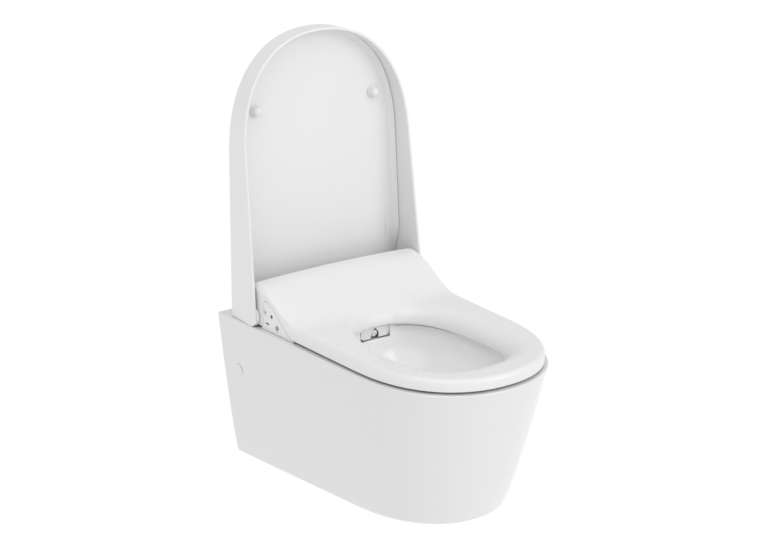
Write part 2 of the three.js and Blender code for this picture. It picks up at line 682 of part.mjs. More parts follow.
function seatShell() {
  const { wall, lip, roll } = SEAT;
  const rim = 12; // width of the band that follows the outer edge
  const sections = seatStations().map(({ x, y, foot, edge, inward }) => {
    const within = (e) => [x + inward[0] * e, y + inward[1] * e];
    const [rimX, rimY] = within(rim);
    const angle = Math.atan2(rimY - HOLE.y, rimX);
    const r = ovalRadius(angle, HOLE);
    const reach = Math.hypot(rimX, rimY - HOLE.y) - r;
    const fromLip = (d) => [(r + d) * Math.cos(angle), HOLE.y + (r + d) * Math.sin(angle)];
    const lipHeight = (d) => {
      const top = seatTop(...fromLip(d));
      const inwards = Math.max(1 - d / roll, 0);
      return top - (top - lip) * (1 - Math.sqrt(1 - inwards ** 2));
    };
    const edgeHeight = (e) => seatTop(...within(e)) - edge + Math.sqrt(edge ** 2 - (edge - e) ** 2);
    const between = [0.25, 0.5, 0.75].map((t) => roll + (reach - roll) * t);
    const shoulder = seatTop(...within(edge));
    return [
      ...[0, 2, 7, 16, 28, roll, ...between].map((d) => [...fromLip(d), lipHeight(d)]),
      ...[edge, edge * 0.35, edge * 0.07, 0].map((e) => [...within(e), edgeHeight(e)]),
      [...within(0), foot],
      [...within(wall), foot],
      [...within(wall), Math.max(shoulder - edge * 0.8, foot + 0.6)],
      [...within(edge + 1), shoulder - wall],
      ...[...between.reverse(), roll, 26, 9].map((d) => [...fromLip(d + 2), lipHeight(d) - wall]),
      [...fromLip(wall), lip],
    ];
  });
  return sweepRing(sections);
}

// Closed sections joined into a closed ring.
function sweepRing(sections) {
  const [n, m] = [sections.length, sections[0].length];
  const index = [];
  for (let i = 0; i < n; i += 1) {
    for (let j = 0; j < m; j += 1) {
      const a = i * m + j;
      const b = i * m + ((j + 1) % m);
      const c = ((i + 1) % n) * m + ((j + 1) % m);
      const d = ((i + 1) % n) * m + j;
      index.push(a, c, d, a, b, c);
    }
  }
  const geometry = new THREE.BufferGeometry();
  geometry.setAttribute("position", new THREE.Float32BufferAttribute(sections.flat(2), 3));
  geometry.setIndex(index);
  return geometry.toNonIndexed();
}

const sideCuts = SIDES.map(([, side]) => {
  const tool = prismX(panelShape(0.8), -8, 8, 8);
  return tool.rotateZ(-side * TOP_D.taper).translate(side * SIDE_AT_WALL, 0, 0);
});
const seatLugs = SIDES.map(([, side]) => rod(
  [side * 168, HINGE.y, HINGE.z],
  [side * 177, HINGE.y, HINGE.z],
  13.4,
  24,
));
// The hump is open behind, between its two side walls.
const sideInside = TOP_D.half - SEAT.inset - SEAT.wall - TOP_D.taper * -HUMP.back;
const openBack = box([-sideInside, sideInside], [-97, HUMP.back + 4], [-10, HUMP.backFoot - 0.2]);
const seatHollowed = cut(seatShell(), openBack, ...sideCuts);
const seatBody = cut(join(seatHollowed, ...seatLugs), ...pinBores);
add("seat_shell", seatBody, "shell");

const grown = (by) => ({ ...HOLE, half: HOLE.half + by, rear: HOLE.rear + by, front: HOLE.front + by });
const seatPlate = (inset, from, grow, z0, z1) => cut(
  loft([z0, z1].map((z) => ringD(halfD(TOP_D, SEAT.inset + inset, from), () => z)), strips, strips),
  loft([z0 - 2, z1 + 2].map((z) => ovalRing(grown(grow), z, 36))),
);
add("seat_base", seatPlate(SEAT.wall + 0.5, 226, 9.5, 4.6, 7.2), "softGrey");
add("seat_heater", seatPlate(16, 250, 22, 13.5, 14.3), "foil");

const BUFFERS = [["rear", 150, -300], ["front", 132, -468]];
for (const [place, x, y] of BUFFERS) {
  for (const [name, side] of SIDES) {
    add(`seat_buffer_${place}_${name}`, rod([side * x, y, 0.4], [side * x, y, 4.3], 8, 18, 9), "rubber");
  }
}

// ---------- Lid, standing open ----------
const lid = new THREE.Group();
lid.position.set(0, HINGE.y, HINGE.z);
lid.rotation.x = -rad(LID.open);
fixed.add(lid);

// Made closed, then turned open about the hinge line.
const lidTop = (s) => LID.rear + ((LID.front - LID.rear) * (s + HINGE.y)) / (TOP_D.length + HINGE.y);
const fromHinge = (geometry) => geometry.translate(0, -HINGE.y, -HINGE.z);

function lidShell() {
  const ring = (shape, inset, height, from) => ringD(halfD(shape, LID.inset + inset, from), height);
  const steps = 4;
  const outer = [ring(LID_EDGE_D, 0, () => LID.edge, 60)];
  for (let i = 0; i <= steps; i += 1) {
    const a = (i / steps) * (Math.PI / 2);
    const rise = LID.round * Math.sin(a) - LID.round;
    outer.push(ring(LID_CROWN_D, LID.round * (1 - Math.cos(a)), (s) => lidTop(s) + rise, 60));
  }
  const inner = [
    ring(LID_EDGE_D, LID.skirt, () => LID.edge - 2, 50),
    ring(LID_CROWN_D, LID.skirt, (s) => lidTop(s) - LID.wall, 50),
  ];
  const end = polygon([
    [HINGE.y + 10.4, HINGE.z - 40],
    [HINGE.y + 10.4, HINGE.z - 13.9],
    [HINGE.y + 14.6, HINGE.z - 9.2],
    [HINGE.y + 17.2, HINGE.z - 1],
    [HINGE.y + 16.9, HINGE.z + 4],
    [HINGE.y + 7.6, HINGE.z + 68],
    [HINGE.y + 5, HINGE.z + 90],
    [HINGE.y + 90, HINGE.z + 90],
    [HINGE.y + 90, HINGE.z - 40],
  ].reverse());
  const lugs = SIDES.map(([, side]) => rod(
    [side * 179.4, HINGE.y, HINGE.z],
    [side * 184.5, HINGE.y, HINGE.z],
    16.8,
    28,
  ));
  const bores = SIDES.map(([, side]) => rod(
    [side * 170, HINGE.y, HINGE.z],
    [side * 183.8, HINGE.y, HINGE.z],
    HINGE.bore,
  ));
  const shell = cut(loft(outer, strips, strips), loft(inner, strips, strips), prismX(end, -200, 200));
  return cut(join(shell, ...lugs), ...bores);
}
add("lid_shell", fromHinge(lidShell()), "shell", lid);

// The lining's visible face lies deeper than the shell, except close to the hinge.
const LINER = { from: 122, rear: 7, depth: 14, thick: 3 };
const linerFace = (s) => lidTop(s) - LINER.rear
  - (LINER.depth - LINER.rear) * THREE.MathUtils.smoothstep(s, 125, 200);
const linerHalf = () => {
  const outline = halfD(LID_CROWN_D, LID.inset + LID.skirt + 1.4, LINER.from);
  const steps = [122, 140, 160, 180, 200, 285];
  const straight = steps.map((s) => [TOP_D.half - LID.inset - LID.skirt - 0.4 - TOP_D.taper * s, s]);
  return [...straight, ...outline.slice(2)];
};
const liner = loft([
  ringD(linerHalf(), linerFace),
  ringD(linerHalf(), (s) => linerFace(s) + LINER.thick),
], strips, strips);
add("lid_liner", fromHinge(liner), "shell", lid);

const BUMPER = { x: 128, s: 449.7, length: 14.5 };
for (const [name, side] of SIDES) {
  const slope = Math.atan((LID.rear - LID.front) / (TOP_D.length + HINGE.y));
  const at = (depth) => [
    side * BUMPER.x,
    -BUMPER.s + depth * Math.sin(slope),
    linerFace(BUMPER.s) - depth * Math.cos(slope),
  ];
  const bumper = join(
    rod(at(GAP), at(BUMPER.length - 3), 11, 20, 8.5),
    rod(at(BUMPER.length - 3), at(BUMPER.length), 8.5, 20, 5),
  );
  add(`lid_bumper_${name}`, fromHinge(bumper), "rubber", lid);
}

export default root;
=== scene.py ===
import json
import math

import bmesh
import bpy
import numpy as np
from mathutils import Matrix, Vector


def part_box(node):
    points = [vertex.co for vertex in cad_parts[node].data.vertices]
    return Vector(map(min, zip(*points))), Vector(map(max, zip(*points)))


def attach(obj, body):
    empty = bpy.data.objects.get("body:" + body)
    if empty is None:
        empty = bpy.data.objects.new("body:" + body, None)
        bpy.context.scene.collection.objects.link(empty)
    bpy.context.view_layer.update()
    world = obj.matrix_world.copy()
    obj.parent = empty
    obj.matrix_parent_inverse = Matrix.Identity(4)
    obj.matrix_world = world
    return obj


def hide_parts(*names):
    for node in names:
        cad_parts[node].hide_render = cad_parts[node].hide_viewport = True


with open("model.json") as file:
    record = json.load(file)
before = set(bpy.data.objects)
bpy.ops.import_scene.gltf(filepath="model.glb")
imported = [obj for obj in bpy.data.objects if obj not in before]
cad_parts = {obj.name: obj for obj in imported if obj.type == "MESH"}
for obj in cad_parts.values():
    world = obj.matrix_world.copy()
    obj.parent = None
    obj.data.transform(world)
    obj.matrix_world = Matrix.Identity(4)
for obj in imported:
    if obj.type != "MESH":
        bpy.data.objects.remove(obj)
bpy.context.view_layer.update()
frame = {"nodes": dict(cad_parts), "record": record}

# The looks of a wall-hung shower toilet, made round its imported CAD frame.
# Drawn in millimetres with z = 0 at the ceramic rim, then scaled to metres and raised to the frame's rim.
MM = 0.001
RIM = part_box("ceramic_bowl")[1][2] / MM
SIDES = (("right", -1), ("left", 1))

# Driving dimensions, the same as the CAD frame's. A D outline has a half width at the wall, a straight
# side that tapers, and a round front with the powers p along it and q across it.
TOP_D = dict(half=189, length=582, straight=369.5, p=2.5, q=2.2, taper=0.028)
RIM_D = dict(half=196, length=582.5, straight=394, p=2.47, q=2.06, taper=0.053)
BASE_D = dict(half=152.8, length=508, straight=306, p=2.93, q=2.09, taper=0.056)
BOWL = dict(height=286.8, climb=0.0426, swell=0.78, wall=11, rim_edge=3, base_edge=11, corner=2)
WASTE = dict(z=-197, radius=51, bore=44, recess=14)
FLUSH = dict(
    z=-62, radius=27.5, bore=21, recess=18, bend=-130, fall=33, mouth=-240, skin_end=-222, bore_end=-246,
)
VENT = dict(z=-236, radius=2.5, depth=20)
FIXING = dict(x=90, z=-98, radius=13, depth=50, boss=21, boss_depth=34)
CAP = dict(x=181.6, y=-46.7, radius=10, yaw=0.055, lean=0.13, hole=8.7)
SERVICE = dict(x=75, y=-64, radius=11)
DECK_BOLT = dict(x=77.5, y=-170, radius=5.5)
DECK_DEPTH = 20
POCKET = dict(half=32.5, front=-240, back=-112, floor=-30, skin_front=-225)
BACK_WEB = dict(half=190, inner=-12, low=-300)
# The ceramic's thickness round the basin, trap, flush way and pocket.
WAY_WALL = 9
# How far the cutting tools run past the wall face and the rim, and the hollow's tools past the rim.
PAST_WALL, ABOVE_RIM, HOLLOW_TOP = 6, 4, 20
HINGE = dict(y=-94.5, z=17.7, bore=5.35)
LID_EDGE_D = {**TOP_D, "half": TOP_D["half"] + 2.5}
LID_CROWN_D = {**TOP_D, "length": TOP_D["length"] + 4}
SEAT = dict(inset=7.8, top=25.5, bottom=4, lip=-5, wall=3.5, edge=9, roll=40, foot_edge=0.8)
HUMP = dict(
    top=79, back=-81, back_half=165, back_edge=4, back_foot=69.8, corner_foot=8, corner_run=20,
    fall_from=92, fall_to=225, half=178, crown=4,
)
OPEN_BACK = dict(front=-97, low=-10, behind=4)
SEAT_LUG = dict(inner=168, outer=177, radius=13.4)
HOLE = dict(half=98, y=-400, rear=185, front=103, n=2.6)
LID = dict(start=50, edge=3.8, rear=84.7, front=45, inset=0.5, skirt=5, wall=3, open=97.9, round=4)
LID_LUG = dict(inner=179.4, outer=184.5, radius=16.8, edge=1, bore_end=183.8)
# Where the lid is cut clear of the hump: places behind and above the hinge line.
LID_TAIL = (
    (10.4, -40), (10.4, -13.9), (14.6, -9.2), (17.2, -1), (16.9, 4), (7.6, 68), (5, 90), (90, 90), (90, -40),
)
LINER = dict(start=122, rear=7, depth=14, thick=3, band=8, gap=0.4, fall_from=125, fall_to=200)
BUMPER = dict(x=128, s=449.7, length=14.5, radius=11)
PANEL = dict(
    thick=3, arc=25.6, foot=0.8, tip=-208, tip_z=1.8, top_y=-128.5, top_z=45.5, top_r=8,
    pulls=((-158, 46), (-168, 17)),
)
POST = dict(places=(-138, -178), z=8, radius=4, root=2.9, length=10.5)


# ---------- Meshes ----------
def make(name, points, faces):
    """A new object from points in millimetres above the rim."""
    mesh = bpy.data.meshes.new(name)
    mesh.from_pydata((np.asarray(points, float) * MM + (0, 0, RIM * MM)).tolist(), [], faces)
    obj = bpy.data.objects.new(name, mesh)
    bpy.context.collection.objects.link(obj)
    return tidy(obj)


def tidy(obj, weld=1e-6):
    """Welds points that coincide and turns every face outwards."""
    bm = bmesh.new()
    bm.from_mesh(obj.data)
    bmesh.ops.remove_doubles(bm, verts=bm.verts, dist=weld)
    bmesh.ops.recalc_face_normals(bm, faces=bm.faces)
    bm.to_mesh(obj.data)
    bm.free()
    return obj


def loft(name, rings, closed_path=False):
    """A skin over equal rings, capped at both ends, or joined back to its first ring."""
    rings = np.asarray(rings, float)
    levels, count = rings.shape[:2]
    faces = []
    for level in range(levels if closed_path else levels - 1):
        a, b = level * count, ((level + 1) % levels) * count
        for i in range(count):
            j = (i + 1) % count
            faces.append((a + i, a + j, b + j, b + i))
    if not closed_path:
        faces.append(tuple(range(count - 1, -1, -1)))
        faces.append(tuple(range((levels - 1) * count, levels * count)))
    return make(name, rings.reshape(-1, 3), faces)


def lathe(name, profile, start, axis, sides=64):
    """A solid of revolution: profile gives (distance along the axis, radius) from end to end."""
    along = Vector(axis).normalized()
    turn = along.to_track_quat("Z", "Y").to_matrix()
    u, v = turn.col[0], turn.col[1]
    rings = []
    for depth, radius in profile:
        centre = Vector(start) + along * depth
        rings.append([
            centre + (u * math.cos(a) + v * math.sin(a)) * max(radius, 0.01)
            for a in np.arange(sides) * 2 * math.pi / sides
        ])
    return loft(name, rings)


def rod(start, end, radius, sides=48):
    """A plain round tool."""
    length = (Vector(end) - Vector(start)).length
    axis = Vector(end) - Vector(start)
    return lathe("tool", [(0, radius), (length, radius)], start, axis, sides)


def round_rod(start, end, radius, edge):
    """A round tool with rounded rims."""
    length = (Vector(end) - Vector(start)).length
    turns = np.linspace(0, math.pi / 2, 5)
    profile = [(edge * (1 - math.sin(t)), radius - edge * (1 - math.cos(t))) for t in turns[::-1]]
    profile += [(length - edge * (1 - math.sin(t)), radius - edge * (1 - math.cos(t))) for t in turns]
    return lathe("tool", profile, start, Vector(end) - Vector(start))


def box(x, y, z):
    """A square tool between two places on each axis."""
    rings = [[(x[0], y[0], h), (x[1], y[0], h), (x[1], y[1], h), (x[0], y[1], h)] for h in z]
    return loft("tool", rings)


def prism(name, outline, low, high):
    """An outline, drawn in y and z, extruded along X."""
    return loft(name, [[(x, y, z) for y, z in outline] for x in (low, high)])


def drop(*objs):
    for obj in objs:
        bpy.data.objects.remove(obj)


def settle(obj):
    """Applies the modifiers, so the mesh is plain again."""
    graph = bpy.context.evaluated_depsgraph_get()
    mesh = bpy.data.meshes.new_from_object(obj.evaluated_get(graph))
    obj.modifiers.clear()
    obj.data = mesh
    return obj


def boolean(obj, operation, tools):
    for tool in tools:
        modifier = obj.modifiers.new(operation, "BOOLEAN")
        modifier.operation, modifier.object, modifier.solver = operation, tool, "MANIFOLD"
        settle(obj)
        drop(tool)
    return obj


def cut(obj, *tools):
    return boolean(obj, "DIFFERENCE", tools)


def join(obj, *tools):
    return boolean(obj, "UNION", tools)


def bevel(obj, width, angle=40, segments=3):
    modifier = obj.modifiers.new("Bevel", "BEVEL")
    modifier.width, modifier.segments = width * MM, segments
    modifier.limit_method, modifier.angle_limit = "ANGLE", math.radians(angle)
    modifier.miter_outer = "MITER_ARC"
    return settle(obj)


def smooth(obj, angle=32):
    obj.data.shade_smooth()
    obj.data.set_sharp_from_angle(angle=math.radians(angle))
    weighted = obj.modifiers.new("Normals", "WEIGHTED_NORMAL")
    weighted.keep_sharp = True
    return obj


def dress(obj, material, body, slot, *nodes, angle=32):
    """Finishes a piece: its material, its body and the CAD nodes it stands for; the slot is not used."""
    obj.data.materials.clear()
    obj.data.materials.append(material)
    for face in obj.data.polygons:
        face.material_index = 0
    smooth(obj, angle)
    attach(obj, body)
    if nodes:
        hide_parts(*nodes)
    return obj


# ---------- Outlines ----------
def d_half(shape, inset, start, corner=0, sides=30, fronts=64):
    """Half of a D as (half width, distance from the wall), with a rounded back corner."""
    half, taper = shape["half"] - inset, shape["taper"]
    straight = max(shape["straight"], start)
    points = [
        (half - taper * start - corner * (1 - math.sin(a)), start + corner * (1 - math.cos(a)))
        for a in np.linspace(0, math.pi / 2, 7)[:-1]
    ] if corner else []
    points += [(half - taper * s, s) for s in np.linspace(start + corner, straight, sides)[:-1]]
    for a in np.linspace(0, math.pi / 2, fronts + 1):
        s = straight + (shape["length"] - inset - straight) * math.sin(a) ** (2 / shape["p"])
        points.append(((half - taper * s) * max(math.cos(a), 0) ** (2 / shape["q"]), s))
    points[-1] = (0, points[-1][1])
    return np.array(points)


def with_back(ring, count=40):
    """The ring with its straight back edge divided evenly, so that other outlines can follow it."""
    half = ring[-1][0]
    across = np.linspace(half, -half, count + 2)[1:-1]
    back = [(x, ring[-1][1], ring[-1][2]) for x in across]
    return np.vstack([ring, back])


def d_ring(half, height):
    """The whole D at a height, which is a number or a function of the distance from the wall."""
    z = [height(s) if callable(height) else height for s in half[:, 1]]
    left = np.column_stack([-half[:, 0], -half[:, 1], z])
    right = (left * (-1, 1, 1))[:-1][::-1]
    return np.vstack([left, right])


def oval_radius(angle, oval):
    reach = oval["rear"] if math.sin(angle) > 0 else oval["front"]
    n = oval["n"]
    across, along = abs(math.cos(angle) / oval["half"]), abs(math.sin(angle) / reach)
    return (across ** n + along ** n) ** (-1 / n)


def oval_ring(oval, z, angles, grow=0):
    ring = []
    for angle in angles:
        r = oval_radius(angle, oval) + grow
        ring.append((r * math.cos(angle), oval["y"] + r * math.sin(angle), z))
    return np.array(ring)


def smoothstep(x, low, high):
    t = min(max((x - low) / (high - low), 0), 1)
    return t * t * (3 - 2 * t)


def arc(u, v, radius, start, end, steps=12):
    turns = np.radians(np.linspace(start, end, steps))
    return [(u + radius * math.cos(a), v + radius * math.sin(a)) for a in turns]


# ---------- Materials ----------
def material(name, tones, rough, scale, bump=0.0, metal=0.0, coat=0.0, grain=(1, 1, 1)):
    """A surface with a faint cloud of two tones, a varying gloss and a fine relief."""
    made = bpy.data.materials.new(name)
    made.use_nodes = True
    nodes, links = made.node_tree.nodes, made.node_tree.links
    shader = nodes["Principled BSDF"]
    place = nodes.new("ShaderNodeTexCoord")
    stretch = nodes.new("ShaderNodeMapping")
    stretch.inputs["Scale"].default_value = grain
    links.new(place.outputs["Object"], stretch.inputs["Vector"])
    cloud = nodes.new("ShaderNodeTexNoise")
    cloud.inputs["Scale"].default_value = scale
    cloud.inputs["Detail"].default_value = 4
    links.new(stretch.outputs["Vector"], cloud.inputs["Vector"])
    ramp = nodes.new("ShaderNodeValToRGB")
    for element, tone in zip(ramp.color_ramp.elements, tones):
        element.color = (*tone, 1)
    links.new(cloud.outputs["Fac"], ramp.inputs["Fac"])
    links.new(ramp.outputs["Color"], shader.inputs["Base Color"])
    gloss = nodes.new("ShaderNodeMapRange")
    gloss.inputs["To Min"].default_value, gloss.inputs["To Max"].default_value = rough
    links.new(cloud.outputs["Fac"], gloss.inputs["Value"])
    links.new(gloss.outputs["Result"], shader.inputs["Roughness"])
    if bump:
        fine = nodes.new("ShaderNodeTexNoise")
        fine.inputs["Scale"].default_value = scale * 40
        links.new(stretch.outputs["Vector"], fine.inputs["Vector"])
        relief = nodes.new("ShaderNodeBump")
        relief.inputs["Strength"].default_value = bump
        relief.inputs["Distance"].default_value = 0.0002
        links.new(fine.outputs["Fac"], relief.inputs["Height"])
        links.new(relief.outputs["Normal"], shader.inputs["Normal"])
    shader.inputs["Metallic"].default_value = metal
    shader.inputs["Coat Weight"].default_value = coat
    shader.inputs["Coat Roughness"].default_value = 0.04
    return made


def grey(value, tint=(0, 0, 0)):
    return tuple(value + t for t in tint)


BLUE_WHITE = (0, 0, 0.008)
LOOKS = {
    "ceramic": material(
        "glazed_ceramic", (grey(0.71, (0, 0, 0.012)), grey(0.73, (0, 0, 0.01))), (0.06, 0.13), 3,
        bump=0.02, coat=0.5,
    ),
    "white_plastic": material(
        "gloss_white_plastic", (grey(0.75, BLUE_WHITE), grey(0.77, BLUE_WHITE)), (0.2, 0.28), 9, bump=0.03,
    ),
    "pale_plastic": material("satin_pale_plastic", (grey(0.52), grey(0.57)), (0.38, 0.5), 14, bump=0.12),
    "grey_plastic": material("dark_grey_plastic", (grey(0.09), grey(0.13)), (0.4, 0.55), 18, bump=0.15),
    "black_plastic": material("black_plastic", (grey(0.012), grey(0.022)), (0.35, 0.5), 18, bump=0.15),
    "black_lens": material("tinted_window", (grey(0.006), grey(0.012)), (0.04, 0.09), 30, coat=0.6),
    "grey_rubber": material("grey_rubber", (grey(0.3), grey(0.36)), (0.6, 0.78), 26, bump=0.25),
    "black_rubber": material("black_rubber", (grey(0.014), grey(0.024)), (0.62, 0.8), 26, bump=0.25),
    "steel": material(
        "plated_steel", (grey(0.5), grey(0.62)), (0.2, 0.34), 22, bump=0.1, metal=1, grain=(1, 9, 1),
    ),
    "motor_steel": material(
        "drawn_steel", (grey(0.4), grey(0.5)), (0.25, 0.4), 24, bump=0.1, metal=1, grain=(8, 1, 1),
    ),
    "brass": material(
        "plain_brass", ((0.58, 0.41, 0.13), (0.7, 0.52, 0.2)), (0.22, 0.38), 20, bump=0.1, metal=1,
    ),
    "circuit_board": material(
        "green_board", ((0.01, 0.11, 0.04), (0.02, 0.2, 0.07)), (0.3, 0.45), 60, bump=0.1,
    ),
    "heater_foil": material(
        "heating_foil", ((0.5, 0.27, 0.1), (0.62, 0.36, 0.15)), (0.3, 0.5), 40, bump=0.1, metal=0.6,
    ),
}
MARK = material("button_mark", (grey(0.06), grey(0.09)), (0.3, 0.4), 30, bump=0.05)
SOFT_MARK = material("button_pad", (grey(0.24), grey(0.3)), (0.3, 0.4), 30, bump=0.05)
LIGHT_GUARD = material("white_satin_plastic", (grey(0.84), grey(0.88)), (0.3, 0.4), 14, bump=0.06)
# Painted light: the same ceramic made lighter for the shaded inside of the basin.
BASIN_PAINTED_LIGHT = material("basin_ceramic_painted_light", (grey(0.93), grey(0.95)), (0.07, 0.13), 3, bump=0.02, coat=0.5)


# ---------- Ceramic bowl ----------
OVAL_KEYS = ("half", "y", "rear", "front", "n")
# Each row is a height and the oval there, in the order of OVAL_KEYS.
BASIN = np.array([
    (-3, 109, -400, 193.5, 115, 2.6),
    (-14, 114, -400, 194, 119, 2.6),
    (-34, 114, -399.5, 190, 119, 2.55),
    (-60, 110, -398, 182, 114, 2.5),
    (-110, 90, -388, 145, 94, 2.4),
    (-150, 64, -368, 98, 66, 2.2),
    (-180, 44, -346, 60, 42, 2),
    (-194, 30, -336, 40, 26, 2),
])
# The trap: distance from the wall, height and radius along it.
WATERWAY = np.array([
    (-335, -182, 24), (-300, -208, 26), (-262, -222, 26), (-228, -208, 26), (-204, -178, 26),
    (-172, -158, 27), (-134, -166, 30), (-96, -186, 36), (-50, -197, 44), (0, -197, 44),
])


def basin_oval(row):
    return dict(zip(OVAL_KEYS, row[1:]))


def through(keys, steps):
    """Points on a smooth curve through every key."""
    ends = np.vstack([2 * keys[0] - keys[1], keys, 2 * keys[-1] - keys[-2]])
    curve = []
    for i in range(1, len(ends) - 2):
        a, b, c, d = ends[i - 1:i + 3]
        for t in np.arange(steps) / steps:
            curve.append(b + 0.5 * t * (c - a + t * (2 * a - 5 * b + 4 * c - d + t * (3 * (b - c) + d - a))))
    return np.array([*curve, keys[-1]])


def pipe(path, sides=48):
    """A tube of changing radius along (y, z, radius) in the plane x = 0."""
    rings = []
    for i, (y, z, r) in enumerate(path):
        along = Vector(path[min(i + 1, len(path) - 1)][:2]) - Vector(path[max(i - 1, 0)][:2])
        along.normalize()
        turns = np.arange(sides) * 2 * math.pi / sides
        rings.append([
            (r * math.cos(a), y - r * math.sin(a) * along.y, z + r * math.sin(a) * along.x) for a in turns
        ])
    return loft("tool", rings)


def flush_way(extra, y0, y1):
    """Level from the wall, then falling to the basin's rear wall."""
    slope = FLUSH["fall"] / (FLUSH["bend"] - FLUSH["mouth"])
    line = [(y0, FLUSH["z"] - slope * (FLUSH["bend"] - y0)), (FLUSH["bend"], FLUSH["z"]), (y1, FLUSH["z"])]
    return [(y, z, FLUSH["bore"] + extra) for y, z in line]


def bowl_ring(share, inset, **density):
    """The bowl's outline at a share of its height: its base blended into its rim."""
    base = d_half(BASE_D, inset, 0, BOWL["corner"], **density)
    top = d_half(RIM_D, inset, 0, BOWL["corner"], **density)
    outline = base + (top - base) * share ** BOWL["swell"]
    return with_back(d_ring(outline, lambda s: (BOWL["climb"] * s - BOWL["height"]) * (1 - share)))


def bowl_skin():
    """Outer wall, rim, deck and basin in one skin."""
    height, low, high = BOWL["height"], BOWL["base_edge"], BOWL["rim_edge"]
    turns = np.linspace(0, math.pi / 2, 7)
    rings = [bowl_ring(low * (1 - math.cos(a)) / height, low * (1 - math.sin(a))) for a in turns]
    rings += [bowl_ring(share, 0) for share in np.linspace(low / height, 1 - high / height, 14)[1:-1]]
    rings += [bowl_ring(1 - high * (1 - math.sin(a)) / height, high * (1 - math.cos(a))) for a in turns]
    deck = rings[-1]
    angles = np.unwrap(np.arctan2(deck[:, 1] - HOLE["y"], deck[:, 0]))
    lip, lip_edge = basin_oval(BASIN[0]), 5
    for a in turns:
        rings.append(oval_ring(lip, -lip_edge * (1 - math.cos(a)), angles, lip_edge * (1 - math.sin(a))))
    for row in through(BASIN[1:], 5):
        rings.append(oval_ring(basin_oval(row), row[0], angles))
    return loft("ceramic", rings)


def rear_hollow():
    """The room behind the basin, round the trap, flush way, bolt bosses and pocket."""
    few = dict(sides=6, fronts=16)
    shares = np.linspace(BOWL["wall"] / BOWL["height"], 1 - BOWL["wall"] / BOWL["height"], 6)
    hollow = loft("hollow", [bowl_ring(share, BOWL["wall"], **few) for share in shares])
    around = np.arange(40) * 2 * math.pi / 40
    basin = [oval_ring(basin_oval(row), row[0] - WAY_WALL, around, WAY_WALL + 1) for row in BASIN]
    web = BACK_WEB["half"]
    boss, depth, z = FIXING["boss"], FIXING["boss_depth"], FIXING["z"]
    bosses = [rod((x, -depth, z), (x, 0, z), boss) for x in (-FIXING["x"], FIXING["x"])]
    half, floor = POCKET["half"] + WAY_WALL, POCKET["floor"] - WAY_WALL
    solids = [
        loft("tool", basin),
        box((-web, web), (BACK_WEB["inner"], 1), (BACK_WEB["low"], HOLLOW_TOP)),
        pipe(WATERWAY + (0, 0, WAY_WALL), 24),
        pipe(flush_way(WAY_WALL, FLUSH["skin_end"], 0), 24),
        box((-half, half), (POCKET["skin_front"], POCKET["back"] + WAY_WALL), (floor, HOLLOW_TOP)),
        *bosses,
    ]
    return cut(hollow, *solids)


def ceramic_bowl():
    half = POCKET["half"]
    bores = [
        pipe(np.vstack([through(WATERWAY, 4), (PAST_WALL, WASTE["z"], WASTE["bore"])]), 56),
        pipe(flush_way(0, FLUSH["bore_end"], PAST_WALL)),
        rod((0, -FLUSH["recess"], FLUSH["z"]), (0, PAST_WALL, FLUSH["z"]), FLUSH["radius"], 64),
        rod((0, -WASTE["recess"], WASTE["z"]), (0, PAST_WALL, WASTE["z"]), WASTE["radius"], 64),
        box((-half, half), (POCKET["front"], POCKET["back"]), (POCKET["floor"], ABOVE_RIM)),
    ]
    for _, side in SIDES:
        x, y, z = side * FIXING["x"], CAP["y"], FIXING["z"]
        bores.append(rod((x, -FIXING["depth"], z), (x, PAST_WALL, z), FIXING["radius"]))
        bores.append(rod((x, -VENT["depth"], VENT["z"]), (x, PAST_WALL, VENT["z"]), VENT["radius"], 24))
        bores.append(rod((side * 140, y + 2.3, z + 5.4), (side * 200, y - 1, z - 2.4), CAP["hole"]))
        for hole, sides in ((SERVICE, 48), (DECK_BOLT, 32)):
            x, y = side * hole["x"], hole["y"]
            bores.append(rod((x, y, -DECK_DEPTH), (x, y, ABOVE_RIM), hole["radius"], sides))
    return cut(bowl_skin(), rear_hollow(), *bores)


def paint_light_into_basin(bowl):
    """Gives the faces inside the basin a lighter copy of the ceramic: painted light on the basin's shaded
    inside.
    """
    bowl.data.materials.append(BASIN_PAINTED_LIGHT)
    centre = Vector((0, HOLE["y"])) * MM
    widest = basin_oval(BASIN[1])
    for face in bowl.data.polygons:
        out = face.center.xy - centre
        reach = oval_radius(math.atan2(out.y, out.x), widest) + 3
        below = face.center.z < (RIM - 1) * MM
        inwards = face.normal.xy.dot(out) < 0.2 * out.length
        if below and inwards and out.length < reach * MM:
            face.material_index = 1


BOWL_SKIN = dress(ceramic_bowl(), LOOKS["ceramic"], "base", "ceramic", "ceramic_bowl", angle=38)
# Painted light: the basin's inner faces get the lighter ceramic.
paint_light_into_basin(BOWL_SKIN)


# ---------- Seat ----------
def seat_top(x, y):
    fall = smoothstep(-y, HUMP["fall_from"], HUMP["fall_to"])
    crown = HUMP["crown"] * (x / HUMP["half"]) ** 2
    return SEAT["top"] + (HUMP["top"] - SEAT["top"] - crown) * (1 - fall)


def seat_stations():
    """Points round the outer edge: place, inward direction, lowest height and edge radius."""
    back = -HUMP["back"]
    edge = d_ring(d_half(TOP_D, SEAT["inset"], back, sides=44, fronts=60), 0)[:, :2]
    stations = []
    for i, point in enumerate(edge):
        along = Vector(edge[min(i + 1, len(edge) - 1)] - edge[max(i - 1, 0)]).normalized()
        stations.append((point, np.array((-along.y, along.x)), SEAT["bottom"], SEAT["edge"]))
    for i, (point, inward, foot, radius) in enumerate(stations):
        lift = max(1 - (-point[1] - back) / HUMP["corner_run"], 0) * (HUMP["corner_foot"] - foot)
        stations[i] = (point, inward, foot + lift, radius)
    stations[0] = (edge[0], np.array((1, -1)), *stations[0][2:])
    stations[-1] = (edge[-1], np.array((-1, -1)), *stations[-1][2:])
    for x in np.linspace(HUMP["back_half"], -HUMP["back_half"], 23):
        point, inward = np.array((x, HUMP["back"])), np.array((0, -1))
        stations.append((point, inward, HUMP["back_foot"], HUMP["back_edge"]))
    return stations


